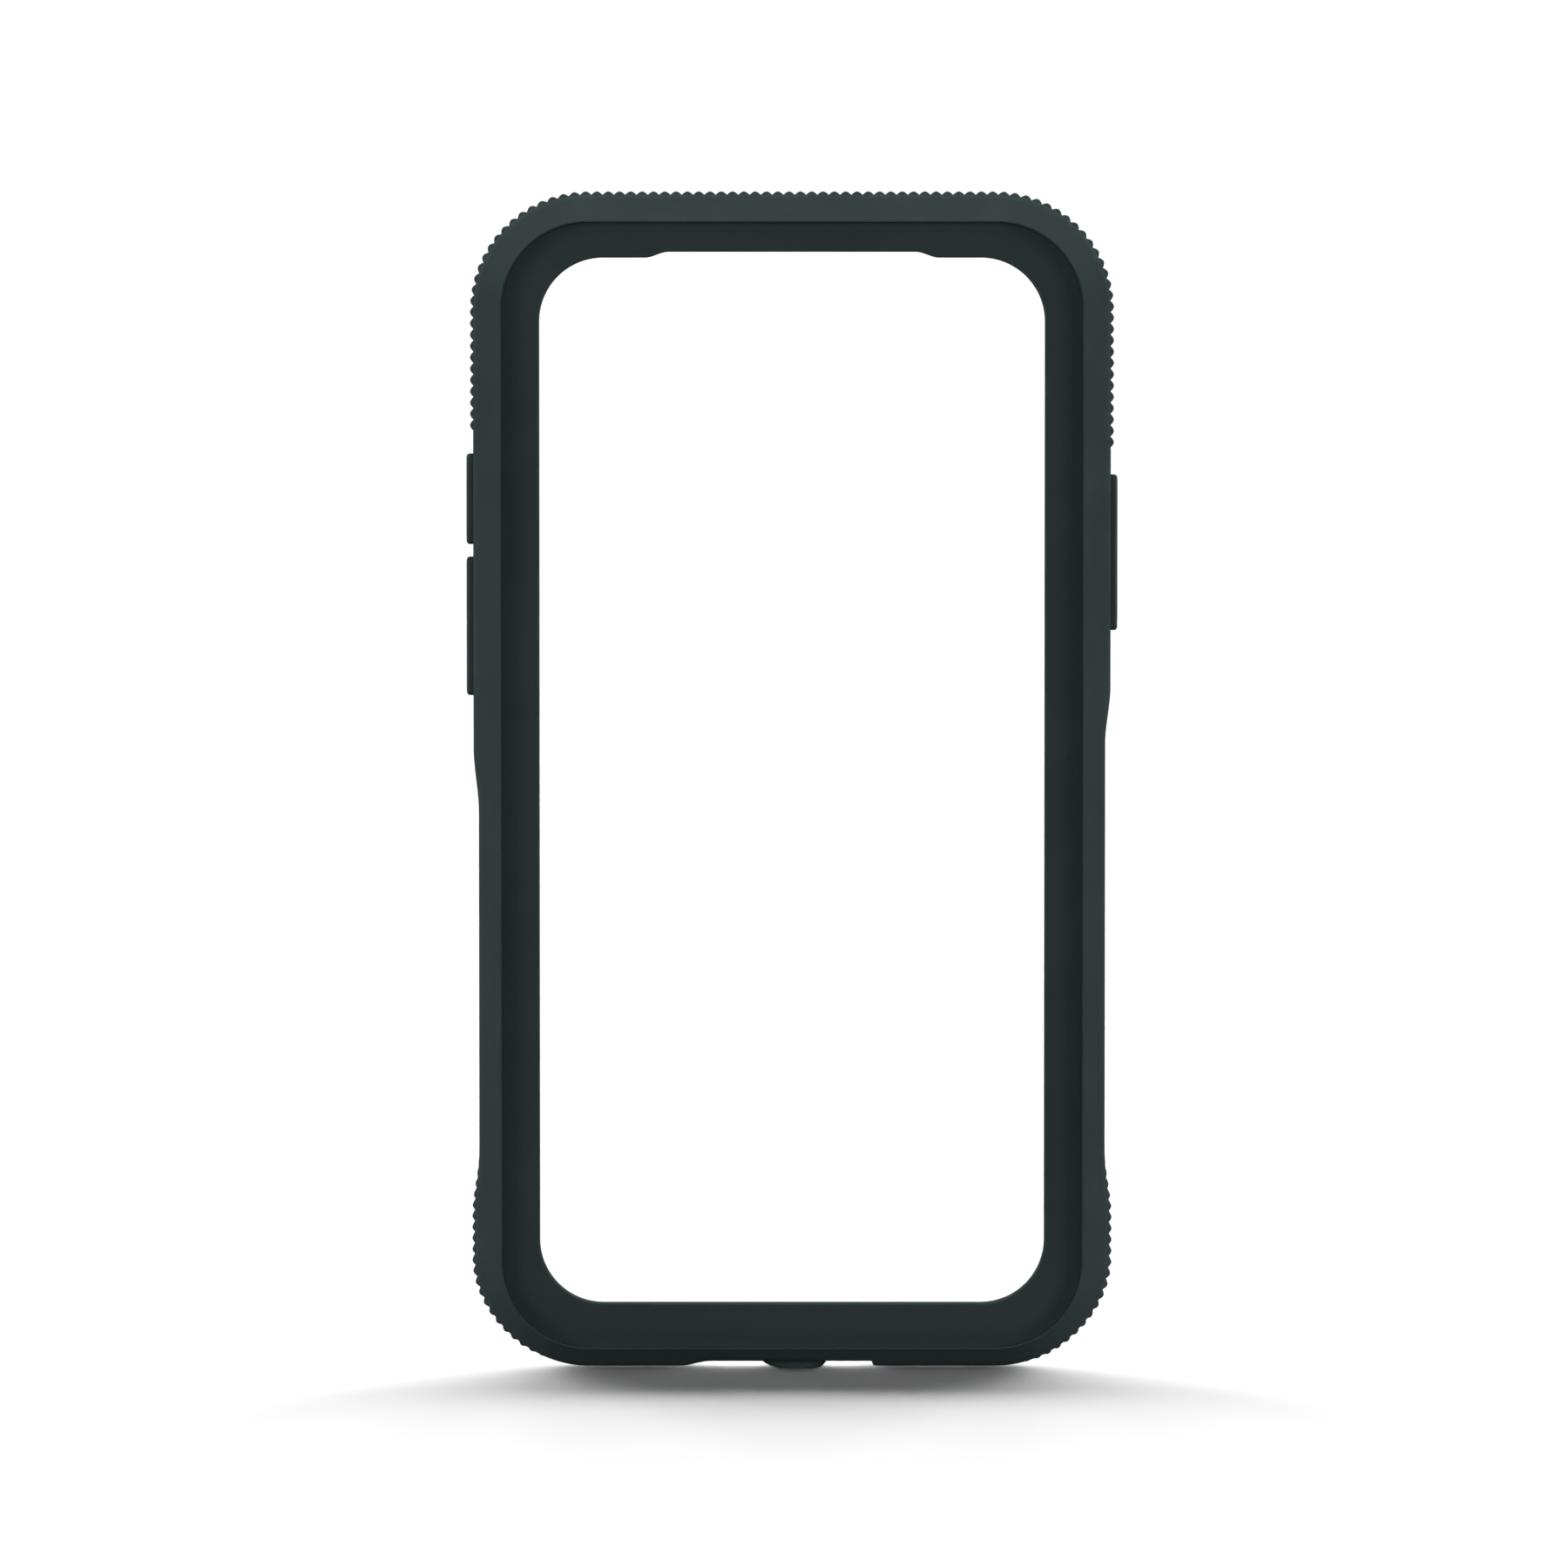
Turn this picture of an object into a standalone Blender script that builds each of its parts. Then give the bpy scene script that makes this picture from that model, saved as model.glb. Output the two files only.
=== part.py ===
"""Bumper case for a 5.8 inch phone, standing upright on its bottom edge.

Axes: X across the case, Z up, Y through it with the screen side at -Y.
The origin is under the middle of the case, on the surface it stands on.
All dimensions below are millimetres; the meshes are built in metres.
"""
import math

import bmesh
import bpy
from mathutils import Vector

MM = 0.001
GAP = 0.3                      # clearance between pieces that touch on the real case

# The phone that the case is made for
PHONE_WIDTH, PHONE_HEIGHT, PHONE_CORNER = 70.9, 143.6, 10.5
PHONE_CLEARANCE = 0.15

# The crest is the sharp front rim. Offsets called "swell" are measured outwards from it.
CREST_HALF_WIDTH = 37.5
CREST_LOW, CREST_HIGH = 3.0, 148.0
CREST_CORNER = 11.2
CREST_LAND = 0.15

# Depth positions
FRONT, BACK = -6.05, 6.05
BEZEL_FACE = -5.1              # flat strip that frames the screen
GROOVE_FLOOR = -4.75           # shadow groove between the strip and the crest
CAVITY_FRONT, CAVITY_BACK = -3.05, 4.75
STEP_DEPTH = -5.05             # where the bumper narrows behind its rim
BACK_CHAMFER = 1.2
BACK_LIP = 1.5                 # how far the rear lip reaches over the phone

# How far the side wall stands out from the crest
FULL_SWELL, WAIST_SWELL, GRIP_SWELL, BASE_SWELL, RECESS_SWELL = 3.6, 2.9, 3.45, 2.55, 1.85
WAIST_TOP = {"left": (72.0, 80.4), "right": (80.9, 88.2)}
WAIST_BOTTOM = (19.9, 28.8)
RECESS_LEFT, RECESS_RIGHT = (-14.4, -10.5), (10.2, 10.6)

# Liner: the stiff inner frame
LINER_WALL = 1.2
SHOULDER_INNER, SHOULDER_OUTER = 2.6, 1.6     # the strip rolls down into the groove between these
WINDOW_HALF_WIDTH, WINDOW_LOW, WINDOW_HIGH, WINDOW_CORNER = 32.5, 8.8, 143.4, 8.2
RELIEF_RISE, RELIEF_INNER, RELIEF_OUTER = 0.75, 15.9, 18.9

# Ribbed grips
RIB_PITCH, RIB_TIP, RIB_VALLEY = 1.456, 0.4, -0.1
GRIP_FRONT, GRIP_BACK = -1.9, 4.3
GRIP_FLOOR = -0.8              # underside of a grip, measured from the side wall
TOP_GRIP_LEFT, TOP_GRIP_RIGHT = 121.2, 119.0
LOWER_GRIP_TOP = 27.6
LEFT_GRIP_END, RIGHT_GRIP_END = 11.0, 2.0     # degrees short of the base

# Side buttons: low end, high end, side
BUTTONS = {
    "volume_up_button": (106.6, 118.3, -1),
    "volume_down_button": (87.1, 105.0, -1),
    "power_button": (95.5, 115.6, 1),
}
BUTTON_DEPTH, BUTTON_CENTRE = 4.2, 0.85
BUTTON_PROUD, BUTTON_CORNER = 0.9, 0.6
FLANGE_MARGIN, FLANGE_OUTER, FLANGE_INNER = 0.8, 0.9, -0.1
PLUNGER_DEPTH, PLUNGER_LENGTH, PLUNGER_TIP = 2.4, 5.0, -1.75

# Charging port and its cover
PORT_CENTRE = 0.85
PORT_SIZE = (11.2, 6.0)
PLATE = (-9.7, 9.7, -2.2, 3.9)                # x low, x high, y low, y high
PLATE_BOTTOM, PLATE_TOP, PLUG_TOP = 1.15, 2.25, 3.75
PULL_TAB = (-4.4, 4.5, -2.15, 3.85)
TETHER = (-13.6, -10.15, -1.3, 3.0)
STUD_RADIUS, STUD_TOP = 0.8, 3.35
HINGE_X, HINGE_Z = -9.9, 1.15
SOUND_SLOT = (19.0, 7.5, 2.2)                 # distance from the middle, length, width

ARC_STEPS = 12
RIGHT_HEIGHTS = [19.9, 24.4, 28.8, 80.9, 84.5, 88.2, 118.0]
LEFT_HEIGHTS = [19.9, 24.4, 28.8, 72.0, 76.2, 80.4, 118.0]
TOP_PLACES = [-18.9, -17.9, -16.9, -15.9, 0.0, 15.9, 16.9, 17.9, 18.9]
BASE_PLACES = [-14.4, -13.1, -11.8, -10.5, 0.0, 10.2, 10.6]


def clear_scene():
    for item in list(bpy.data.objects):
        bpy.data.objects.remove(item, do_unlink=True)


def make_material(name, color, roughness, metallic=0.0):
    material = bpy.data.materials.new(name)
    material.use_nodes = True
    shader = material.node_tree.nodes["Principled BSDF"]
    shader.inputs["Base Color"].default_value = (*color, 1.0)
    shader.inputs["Roughness"].default_value = roughness
    shader.inputs["Metallic"].default_value = metallic
    return material


def smooth_step(low, high, value):
    t = min(max((value - low) / (high - low), 0.0), 1.0)
    return t * t * (3.0 - 2.0 * t)


def mix(a, b, t):
    return a + (b - a) * t


# Outlines --------------------------------------------------------------------

def arc_points(centre_x, centre_z, radius, start, end, steps=ARC_STEPS):
    """Stations (x, z, normal x, normal z) along an arc, in degrees."""
    points = []
    for i in range(steps + 1):
        angle = math.radians(mix(start, end, i / steps))
        nx, nz = math.cos(angle), math.sin(angle)
        points.append((centre_x + radius * nx, centre_z + radius * nz, nx, nz))
    return points


def outline(half_width, low, high, radius):
    """Stations round an upright rounded rectangle, anticlockwise seen from the front."""
    inner_x, inner_low, inner_high = half_width - radius, low + radius, high - radius
    points = [(half_width, z, 1.0, 0.0) for z in RIGHT_HEIGHTS]
    points += arc_points(inner_x, inner_high, radius, 0, 90)
    points += [(x, high, 0.0, 1.0) for x in reversed(TOP_PLACES)]
    points += arc_points(-inner_x, inner_high, radius, 90, 180)
    points += [(-half_width, z, -1.0, 0.0) for z in reversed(LEFT_HEIGHTS)]
    points += arc_points(-inner_x, inner_low, radius, 180, 270)
    points += [(x, low, 0.0, -1.0) for x in BASE_PLACES]
    points += arc_points(inner_x, inner_low, radius, 270, 360)
    return points


def crest_outline():
    return outline(CREST_HALF_WIDTH, CREST_LOW, CREST_HIGH, CREST_CORNER)


def cavity_outline(margin):
    """The phone's outline grown by a margin, centred in the case."""
    middle = (CREST_LOW + CREST_HIGH) / 2
    half_width = PHONE_WIDTH / 2 + margin
    half_height = PHONE_HEIGHT / 2 + margin
    return outline(half_width, middle - half_height, middle + half_height, PHONE_CORNER + margin / 2)


def window_outline(margin=0.0):
    """The screen opening, with the relief for the sensor housing in its top edge."""
    points = []
    stations = outline(WINDOW_HALF_WIDTH + margin, WINDOW_LOW - margin, WINDOW_HIGH + margin,
                       WINDOW_CORNER + margin)
    for x, z, nx, nz in stations:
        if nz == 1.0:
            z += RELIEF_RISE * (1.0 - smooth_step(RELIEF_INNER, RELIEF_OUTER, abs(x)))
        points.append((x, z, nx, nz))
    return points


def swell(x, z):
    """How far the side wall stands out from the crest at a point of the crest."""
    if z <= CREST_LOW + 1e-6:
        into_recess = smooth_step(*RECESS_LEFT, x) * (1.0 - smooth_step(*RECESS_RIGHT, x))
        return mix(BASE_SWELL, RECESS_SWELL, into_recess)
    corner_top = CREST_LOW + CREST_CORNER
    if z < corner_top:
        return mix(BASE_SWELL, GRIP_SWELL, smooth_step(CREST_LOW, corner_top, z))
    if z < WAIST_TOP["left"][0]:
        return mix(GRIP_SWELL, WAIST_SWELL, smooth_step(*WAIST_BOTTOM, z))
    side = "left" if x < 0 else "right"
    return mix(WAIST_SWELL, FULL_SWELL, smooth_step(*WAIST_TOP[side], z))


def ring(stations, y, offset=0.0):
    """3-D points of an outline at depth y, moved along its normals by an offset."""
    points = []
    for x, z, nx, nz in stations:
        grow = offset(x, z) if callable(offset) else offset
        depth = y(x, z) if callable(y) else y
        points.append(Vector((x + nx * grow, depth, z + nz * grow)) * MM)
    return points


# Meshes ----------------------------------------------------------------------

def new_object(name, mesh_builder, material=None, angle=30.0):
    """Turn a bmesh into a named object with outward faces."""
    bmesh.ops.recalc_face_normals(mesh_builder, faces=mesh_builder.faces[:])
    mesh = bpy.data.meshes.new(name)
    mesh_builder.to_mesh(mesh)
    mesh_builder.free()
    if material:
        mesh.materials.append(material)
    mesh.shade_smooth()
    mesh.set_sharp_from_angle(angle=math.radians(angle))
    item = bpy.data.objects.new(name, mesh)
    bpy.context.scene.collection.objects.link(item)
    return item


def bridge(builder, loops, closed_section, capped):
    """Join loops of equal length into a skin.

    closed_section joins the last loop back to the first; capped fills the first and last loops.
    """
    rows = [[builder.verts.new(point) for point in loop] for loop in loops]
    pairs = list(zip(rows, rows[1:]))
    if closed_section:
        pairs.append((rows[-1], rows[0]))
    for lower, upper in pairs:
        count = len(lower)
        for i in range(count):
            j = (i + 1) % count
            builder.faces.new((lower[i], lower[j], upper[j], upper[i]))
    if capped:
        builder.faces.new(rows[0])
        builder.faces.new(rows[-1])


def ring_body(name, loops, material):
    """A closed frame: the loops run round the case and follow one another round its section."""
    builder = bmesh.new()
    bridge(builder, loops, closed_section=True, capped=False)
    return new_object(name, builder, material)


def rounded_loop(axis, level, centre, size, radius, steps=5):
    """A rounded rectangle across an axis ("X" or "Z") at a level along it."""
    half_a, half_b = size[0] / 2, size[1] / 2
    radius = min(radius, half_a - 0.01, half_b - 0.01)
    points = []
    for quarter, (sign_a, sign_b) in enumerate(((1, 1), (-1, 1), (-1, -1), (1, -1))):
        for i in range(steps + 1):
            angle = math.radians(90 * (quarter + i / steps))
            a = centre[0] + sign_a * (half_a - radius) + radius * math.cos(angle)
            b = centre[1] + sign_b * (half_b - radius) + radius * math.sin(angle)
            point = (level, a, b) if axis == "X" else (a, b, level)
            points.append(Vector(point) * MM)
    return points


def stacked_body(name, axis, layers, material=None):
    """A solid stacked from rounded rectangles: (level, centre, size, radius) for each layer."""
    builder = bmesh.new()
    bridge(builder, [rounded_loop(axis, *layer) for layer in layers], closed_section=False, capped=True)
    return new_object(name, builder, material)


def swept_body(name, stations, section, material=None):
    """A solid swept along stations; section gives the (offset, y) corners at a station index."""
    builder = bmesh.new()
    loops = []
    for index, (x, z, nx, nz) in enumerate(stations):
        loop = [Vector((x + nx * w, y, z + nz * w)) * MM for w, y in section(index)]
        loops.append(loop)
    bridge(builder, loops, closed_section=False, capped=True)
    return new_object(name, builder, material)


def cut(target, cutter, operation="DIFFERENCE"):
    """Add a Boolean to the target; the cutter stays as a hidden guide."""
    cutter.hide_render = True
    cutter.display_type = "WIRE"
    modifier = target.modifiers.new(cutter.name, "BOOLEAN")
    modifier.operation = operation
    modifier.solver = "EXACT"
    modifier.object = cutter


# Path of the side wall -------------------------------------------------------

def wall_path(pieces, step):
    """Evenly spaced stations on the crest along straight runs and corner arcs.

    Each piece is ("line", (x, z), (x, z), normal) or ("arc", centre, start, end) in degrees.
    Spacing is measured on the side wall, where the ribs are.
    """
    dense = []
    for piece in pieces:
        if piece[0] == "line":
            start, end, normal = piece[1:]
            length = math.dist(start, end)
            count = max(int(length / 0.1), 1)
            for i in range(count + 1):
                t = i / count
                dense.append((mix(start[0], end[0], t), mix(start[1], end[1], t), *normal))
        else:
            centre, start, end = piece[1:]
            dense += arc_points(*centre, CREST_CORNER, start, end, steps=220)
    walls = [Vector((x + nx * swell(x, z), z + nz * swell(x, z))) for x, z, nx, nz in dense]
    travelled = [0.0]
    for before, after in zip(walls, walls[1:]):
        travelled.append(travelled[-1] + (after - before).length)
    count = round(travelled[-1] / step)
    stations, cursor = [], 0
    for i in range(count + 1):
        target = travelled[-1] * i / count
        while cursor < len(dense) - 1 and travelled[cursor] < target - 1e-6:
            cursor += 1
        stations.append(dense[cursor])
    return stations


def grip_paths():
    """The three ribbed stretches of the side wall."""
    side, low, high = CREST_HALF_WIDTH, CREST_LOW, CREST_HIGH
    inner_x, corner_low, corner_high = side - CREST_CORNER, low + CREST_CORNER, high - CREST_CORNER
    top = [
        ("line", (side, TOP_GRIP_RIGHT), (side, corner_high), (1, 0)),
        ("arc", (inner_x, corner_high), 0, 90),
        ("line", (inner_x, high), (-inner_x, high), (0, 1)),
        ("arc", (-inner_x, corner_high), 90, 180),
        ("line", (-side, corner_high), (-side, TOP_GRIP_LEFT), (-1, 0)),
    ]
    left = [
        ("line", (-side, LOWER_GRIP_TOP), (-side, corner_low), (-1, 0)),
        ("arc", (-inner_x, corner_low), 180, 270 - LEFT_GRIP_END),
    ]
    right = [
        ("arc", (inner_x, corner_low), 270 + RIGHT_GRIP_END, 360),
        ("line", (side, corner_low), (side, LOWER_GRIP_TOP), (1, 0)),
    ]
    return {"top_grip": top, "lower_left_grip": left, "lower_right_grip": right}


def make_grip(name, pieces, material):
    """A ribbed strip that sits in a channel of the side wall."""
    stations = wall_path(pieces, RIB_PITCH / 2)
    last = len(stations) - 1

    def section(index):
        x, z = stations[index][:2]
        wall = swell(x, z)
        fade = smooth_step(0, 10, min(index, last - index)) if name != "top_grip" else 1.0
        tip = mix(0.05, RIB_TIP, fade)
        top = wall + (tip if index % 2 else RIB_VALLEY)
        floor = wall + GRIP_FLOOR
        return [(floor, GRIP_FRONT), (top, GRIP_FRONT), (top, GRIP_BACK), (floor, GRIP_BACK)]

    return swept_body(name, stations, section, material)


def grip_channel(name, pieces):
    """The space cut for a grip, larger than the strip by the clearance at the floor and edges."""
    stations = wall_path(pieces, 2.0)
    first_x, first_z, nx, nz = stations[0]
    start = (first_x + nz * GAP, first_z - nx * GAP, nx, nz)
    last_x, last_z, mx, mz = stations[-1]
    end = (last_x - mz * GAP, last_z + mx * GAP, mx, mz)
    stations = [start] + stations[1:-1] + [end]

    def section(index):
        x, z = stations[index][:2]
        floor = swell(x, z) + GRIP_FLOOR - GAP
        front, back = GRIP_FRONT - GAP, GRIP_BACK + GAP
        return [(floor, front), (8.0, front), (8.0, back), (floor, back)]

    return swept_body(name, stations, section)


# Pieces ----------------------------------------------------------------------

def make_bumper(material):
    """The soft outer frame: rim, front slope, side wall and rear lip in one moulding."""
    crest = crest_outline()
    rear_edge = cavity_outline(PHONE_CLEARANCE - BACK_LIP)
    wall = cavity_outline(PHONE_CLEARANCE + LINER_WALL + GAP)
    loops = [
        ring(crest, FRONT, -CREST_LAND),
        ring(crest, FRONT),
        ring(crest, lambda x, z: FRONT + swell(x, z), swell),
        ring(crest, BACK - BACK_CHAMFER, swell),
        ring(crest, BACK, lambda x, z: swell(x, z) - BACK_CHAMFER),
        ring(rear_edge, BACK),
        ring(rear_edge, CAVITY_BACK),
        ring(wall, CAVITY_BACK),
        ring(wall, STEP_DEPTH),
        ring(crest, STEP_DEPTH, -CREST_LAND),
    ]
    bumper = ring_body("bumper_frame", loops, material)
    for name, pieces in grip_paths().items():
        cut(bumper, grip_channel(name + "_channel", pieces))
    return bumper


def make_liner(material):
    """The stiff inner frame: screen surround and the wall that holds the phone."""
    crest = crest_outline()
    cavity = cavity_outline(PHONE_CLEARANCE)
    outer = cavity_outline(PHONE_CLEARANCE + LINER_WALL)
    window, window_edge = window_outline(), window_outline(0.15)
    wall_back = CAVITY_BACK - GAP
    loops = [
        ring(outer, GROOVE_FLOOR),
        ring(outer, wall_back),
        ring(cavity, wall_back),
        ring(cavity, CAVITY_FRONT),
        ring(window, CAVITY_FRONT),
        ring(window, BEZEL_FACE + 0.15),
        ring(window_edge, BEZEL_FACE),
        ring(crest, BEZEL_FACE, -SHOULDER_INNER),
        ring(crest, BEZEL_FACE + 0.2, -SHOULDER_INNER + 0.5),
        ring(crest, GROOVE_FLOOR, -SHOULDER_OUTER),
    ]
    return ring_body("inner_frame", loops, material)


def make_button(name, low, high, side, material):
    """A key cap with a flange that keeps it in the wall and a plunger that meets the phone's key."""
    length, middle = high - low, (high + low) / 2
    centre = (BUTTON_CENTRE, middle)
    face = FULL_SWELL + BUTTON_PROUD
    margin = 2 * FLANGE_MARGIN
    plunger = (PLUNGER_DEPTH, PLUNGER_LENGTH)

    def level(distance):
        return side * (CREST_HALF_WIDTH + distance)

    layers = [
        (level(face), centre, (BUTTON_DEPTH - 0.8, length - 0.8), BUTTON_CORNER),
        (level(face - 0.12), centre, (BUTTON_DEPTH - 0.3, length - 0.3), BUTTON_CORNER),
        (level(face - 0.4), centre, (BUTTON_DEPTH, length), BUTTON_CORNER),
        (level(FLANGE_OUTER), centre, (BUTTON_DEPTH, length), BUTTON_CORNER),
        (level(FLANGE_OUTER), centre, (BUTTON_DEPTH + margin, length + margin - 0.4), BUTTON_CORNER),
        (level(FLANGE_INNER), centre, (BUTTON_DEPTH + margin, length + margin - 0.4), BUTTON_CORNER),
        (level(FLANGE_INNER), centre, plunger, 0.5),
        (level(PLUNGER_TIP), centre, plunger, 0.5),
    ]
    button = stacked_body(name, "X", layers, material)
    move_origin(button, Vector((level(face), BUTTON_CENTRE, middle)) * MM)
    return button


def button_cutters(name, low, high, side):
    """Window and flange pocket for the bumper, and the plunger's hole for the liner."""
    length, middle = high - low, (high + low) / 2
    centre = (BUTTON_CENTRE, middle)
    margin = 2 * FLANGE_MARGIN

    def level(distance):
        return side * (CREST_HALF_WIDTH + distance)

    window = (BUTTON_DEPTH + 2 * GAP, length + 2 * GAP)
    pocket = (BUTTON_DEPTH + margin + 2 * GAP, length + margin - 0.4 + 2 * GAP)
    shoulder = level(FLANGE_OUTER + GAP)
    pocket_layers = [
        (level(6.0), centre, window, BUTTON_CORNER),
        (shoulder, centre, window, BUTTON_CORNER),
        (shoulder, centre, pocket, BUTTON_CORNER),
        (level(-1.2), centre, pocket, BUTTON_CORNER),
    ]
    hole = (PLUNGER_DEPTH + 2 * GAP, PLUNGER_LENGTH + 2 * GAP)
    hole_layers = [(level(0.5), centre, hole, 0.6), (level(-3.0), centre, hole, 0.6)]
    return (stacked_body(name + "_window", "X", pocket_layers),
            stacked_body(name + "_hole", "X", hole_layers))


def span(box):
    """Centre and size of an (x low, x high, y low, y high) rectangle."""
    return ((box[0] + box[1]) / 2, (box[2] + box[3]) / 2), (box[1] - box[0], box[3] - box[2])


def grown(box, margin):
    return (box[0] - margin, box[1] + margin, box[2] - margin, box[3] + margin)


def make_port_cover(material):
    """The dust cover: a plate in the base, a plug in the port and a pull tab below."""
    plate_centre, plate_size = span(PLATE)
    tab_centre, tab_size = span(PULL_TAB)
    tab_foot = (tab_size[0] - 1.4, tab_size[1] - 0.6)
    plug_centre = (0.0, PORT_CENTRE)
    plug_size = (PORT_SIZE[0] - 2 * GAP, PORT_SIZE[1] - 2 * GAP)
    plug_tip = (plug_size[0] - 0.6, plug_size[1] - 0.6)
    layers = [
        (PLUG_TOP, plug_centre, plug_tip, 1.8),
        (PLUG_TOP - 0.5, plug_centre, plug_size, 2.0),
        (PLATE_TOP, plug_centre, plug_size, 2.0),
        (PLATE_TOP, plate_centre, plate_size, 1.2),
        (PLATE_BOTTOM, plate_centre, plate_size, 1.2),
        (PLATE_BOTTOM, tab_centre, tab_size, 1.4),
        (0.35, tab_centre, (tab_size[0] - 0.5, tab_size[1] - 0.2), 1.4),
        (0.0, tab_centre, tab_foot, 1.2),
    ]
    cover = stacked_body("port_cover", "Z", layers, material)
    move_origin(cover, Vector((HINGE_X, PORT_CENTRE, HINGE_Z)) * MM)
    return cover


def base_level(x):
    """Height of the case's underside at a place along the base."""
    return CREST_LOW - swell(x, CREST_LOW)


def make_tether(material):
    """The cover's root: a pad in the base with a stud that snaps into the liner."""
    centre, size = span(TETHER)
    round_size = (2 * STUD_RADIUS, 2 * STUD_RADIUS)
    stud_centre = (centre[0] - 0.6, centre[1])
    layers = [
        (0.0, centre, size, 0.5),
        (PLATE_TOP, centre, size, 0.5),
        (PLATE_TOP, stud_centre, round_size, STUD_RADIUS),
        (STUD_TOP, stud_centre, round_size, STUD_RADIUS),
    ]
    tether = stacked_body("port_cover_tether", "Z", layers, material)
    for vertex in tether.data.vertices:
        if vertex.co.z < 0.5 * MM:
            vertex.co.z = base_level(vertex.co.x / MM) * MM
    return tether


def base_cutters():
    """Openings in the base, as (cutter, pieces that it cuts)."""
    plate_centre, plate_size = span(grown(PLATE, GAP))
    tether_centre, tether_size = span(grown(TETHER, GAP))
    tether_stud = (span(TETHER)[0][0] - 0.6, span(TETHER)[0][1])
    stud_hole = 2 * (STUD_RADIUS + GAP)
    plate = stacked_body("plate_window", "Z", [
        (-1.0, plate_centre, plate_size, 1.4), (2.8, plate_centre, plate_size, 1.4)])
    tether = stacked_body("tether_window", "Z", [
        (-1.0, tether_centre, tether_size, 0.7), (2.8, tether_centre, tether_size, 0.7)])
    port = stacked_body("port_hole", "Z", [
        (2.0, (0.0, PORT_CENTRE), PORT_SIZE, 2.3), (5.0, (0.0, PORT_CENTRE), PORT_SIZE, 2.3)])
    stud = stacked_body("stud_hole", "Z", [
        (2.0, tether_stud, (stud_hole, stud_hole), stud_hole / 2),
        (5.0, tether_stud, (stud_hole, stud_hole), stud_hole / 2)])
    cutters = [(plate, ["bumper"]), (tether, ["bumper"]), (port, ["liner"]), (stud, ["liner"])]
    distance, length, width = SOUND_SLOT
    for side, label in ((-1, "left"), (1, "right")):
        slot = stacked_body(label + "_sound_slot", "Z", [
            (-1.0, (side * distance, PORT_CENTRE), (length, width), width / 2),
            (5.0, (side * distance, PORT_CENTRE), (length, width), width / 2)])
        cutters.append((slot, ["bumper", "liner"]))
    return cutters


def move_origin(item, origin):
    """Put an object's origin at a point without moving its shape."""
    for vertex in item.data.vertices:
        vertex.co -= origin
    item.location = origin


def main():
    clear_scene()
    soft = make_material("soft_bumper", (0.035, 0.045, 0.047), 0.62)
    stiff = make_material("stiff_liner", (0.02, 0.027, 0.028), 0.5)
    grip = make_material("grip_rubber", (0.03, 0.038, 0.04), 0.7)
    key = make_material("key_cap", (0.028, 0.036, 0.038), 0.45)
    flap = make_material("flap_rubber", (0.026, 0.033, 0.035), 0.65)

    bumper = make_bumper(soft)
    liner = make_liner(stiff)
    for name, pieces in grip_paths().items():
        make_grip(name, pieces, grip)
    for name, (low, high, side) in BUTTONS.items():
        window, hole = button_cutters(name, low, high, side)
        cut(bumper, window)
        cut(liner, hole)
        make_button(name, low, high, side, key)
    make_port_cover(flap)
    make_tether(flap)
    targets = {"bumper": bumper, "liner": liner}
    for cutter, names in base_cutters():
        for name in names:
            cut(targets[name], cutter)


main()
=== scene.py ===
import math

import bmesh
import bpy
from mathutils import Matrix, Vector


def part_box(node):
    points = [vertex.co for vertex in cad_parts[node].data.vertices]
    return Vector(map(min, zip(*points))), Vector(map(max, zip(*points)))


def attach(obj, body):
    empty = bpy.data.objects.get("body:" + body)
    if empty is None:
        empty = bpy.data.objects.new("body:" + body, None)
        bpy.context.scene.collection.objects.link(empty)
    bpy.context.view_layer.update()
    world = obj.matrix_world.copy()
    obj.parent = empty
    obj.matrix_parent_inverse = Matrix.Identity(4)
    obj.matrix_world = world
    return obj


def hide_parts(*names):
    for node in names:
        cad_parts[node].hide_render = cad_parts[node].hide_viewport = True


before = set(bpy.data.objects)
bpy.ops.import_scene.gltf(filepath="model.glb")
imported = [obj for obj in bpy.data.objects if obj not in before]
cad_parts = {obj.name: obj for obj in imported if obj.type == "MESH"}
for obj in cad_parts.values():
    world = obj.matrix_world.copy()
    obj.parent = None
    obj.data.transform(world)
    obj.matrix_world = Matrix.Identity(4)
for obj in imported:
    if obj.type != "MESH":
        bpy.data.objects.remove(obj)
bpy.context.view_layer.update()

# Everything below is in millimetres, in the frame of the CAD model: X across the case,
# -Y towards its screen side, Z up.
MM = 0.001


def box_mm(node):
    low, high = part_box(node)
    return low / MM, high / MM


# Sizes read from the frame
bumper_low, bumper_high = box_mm("bumper_frame")
liner_low, liner_high = box_mm("inner_frame")
top_grip_low, top_grip_high = box_mm("top_grip")
cover_low, cover_high = box_mm("port_cover")
tether_low, tether_high = box_mm("port_cover_tether")
FRONT, BACK = bumper_low.y, bumper_high.y
BEZEL_FACE, LINER_BACK = liner_low.y, liner_high.y
GRIP_FRONT, GRIP_BACK = top_grip_low.y, top_grip_high.y

# The side wall stands out from the crest, the sharp front rim, by a swell that changes round the case
FULL_SWELL, WAIST_SWELL, GRIP_SWELL, BASE_SWELL, RECESS_SWELL = 3.6, 2.9, 3.45, 2.55, 1.85
WAIST_TOP = {"left": (72.0, 80.4), "right": (80.9, 88.2)}
WAIST_BOTTOM = (19.9, 28.8)
RECESS_LEFT, RECESS_RIGHT = (-14.4, -10.5), (10.2, 10.6)
CREST_HALF_WIDTH = bumper_high.x - FULL_SWELL
CREST_LOW = bumper_low.z + BASE_SWELL
CREST_HIGH = bumper_high.z - FULL_SWELL
CREST_CORNER, CREST_LAND = 11.2, 0.15
MIDDLE = (CREST_LOW + CREST_HIGH) / 2

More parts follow.
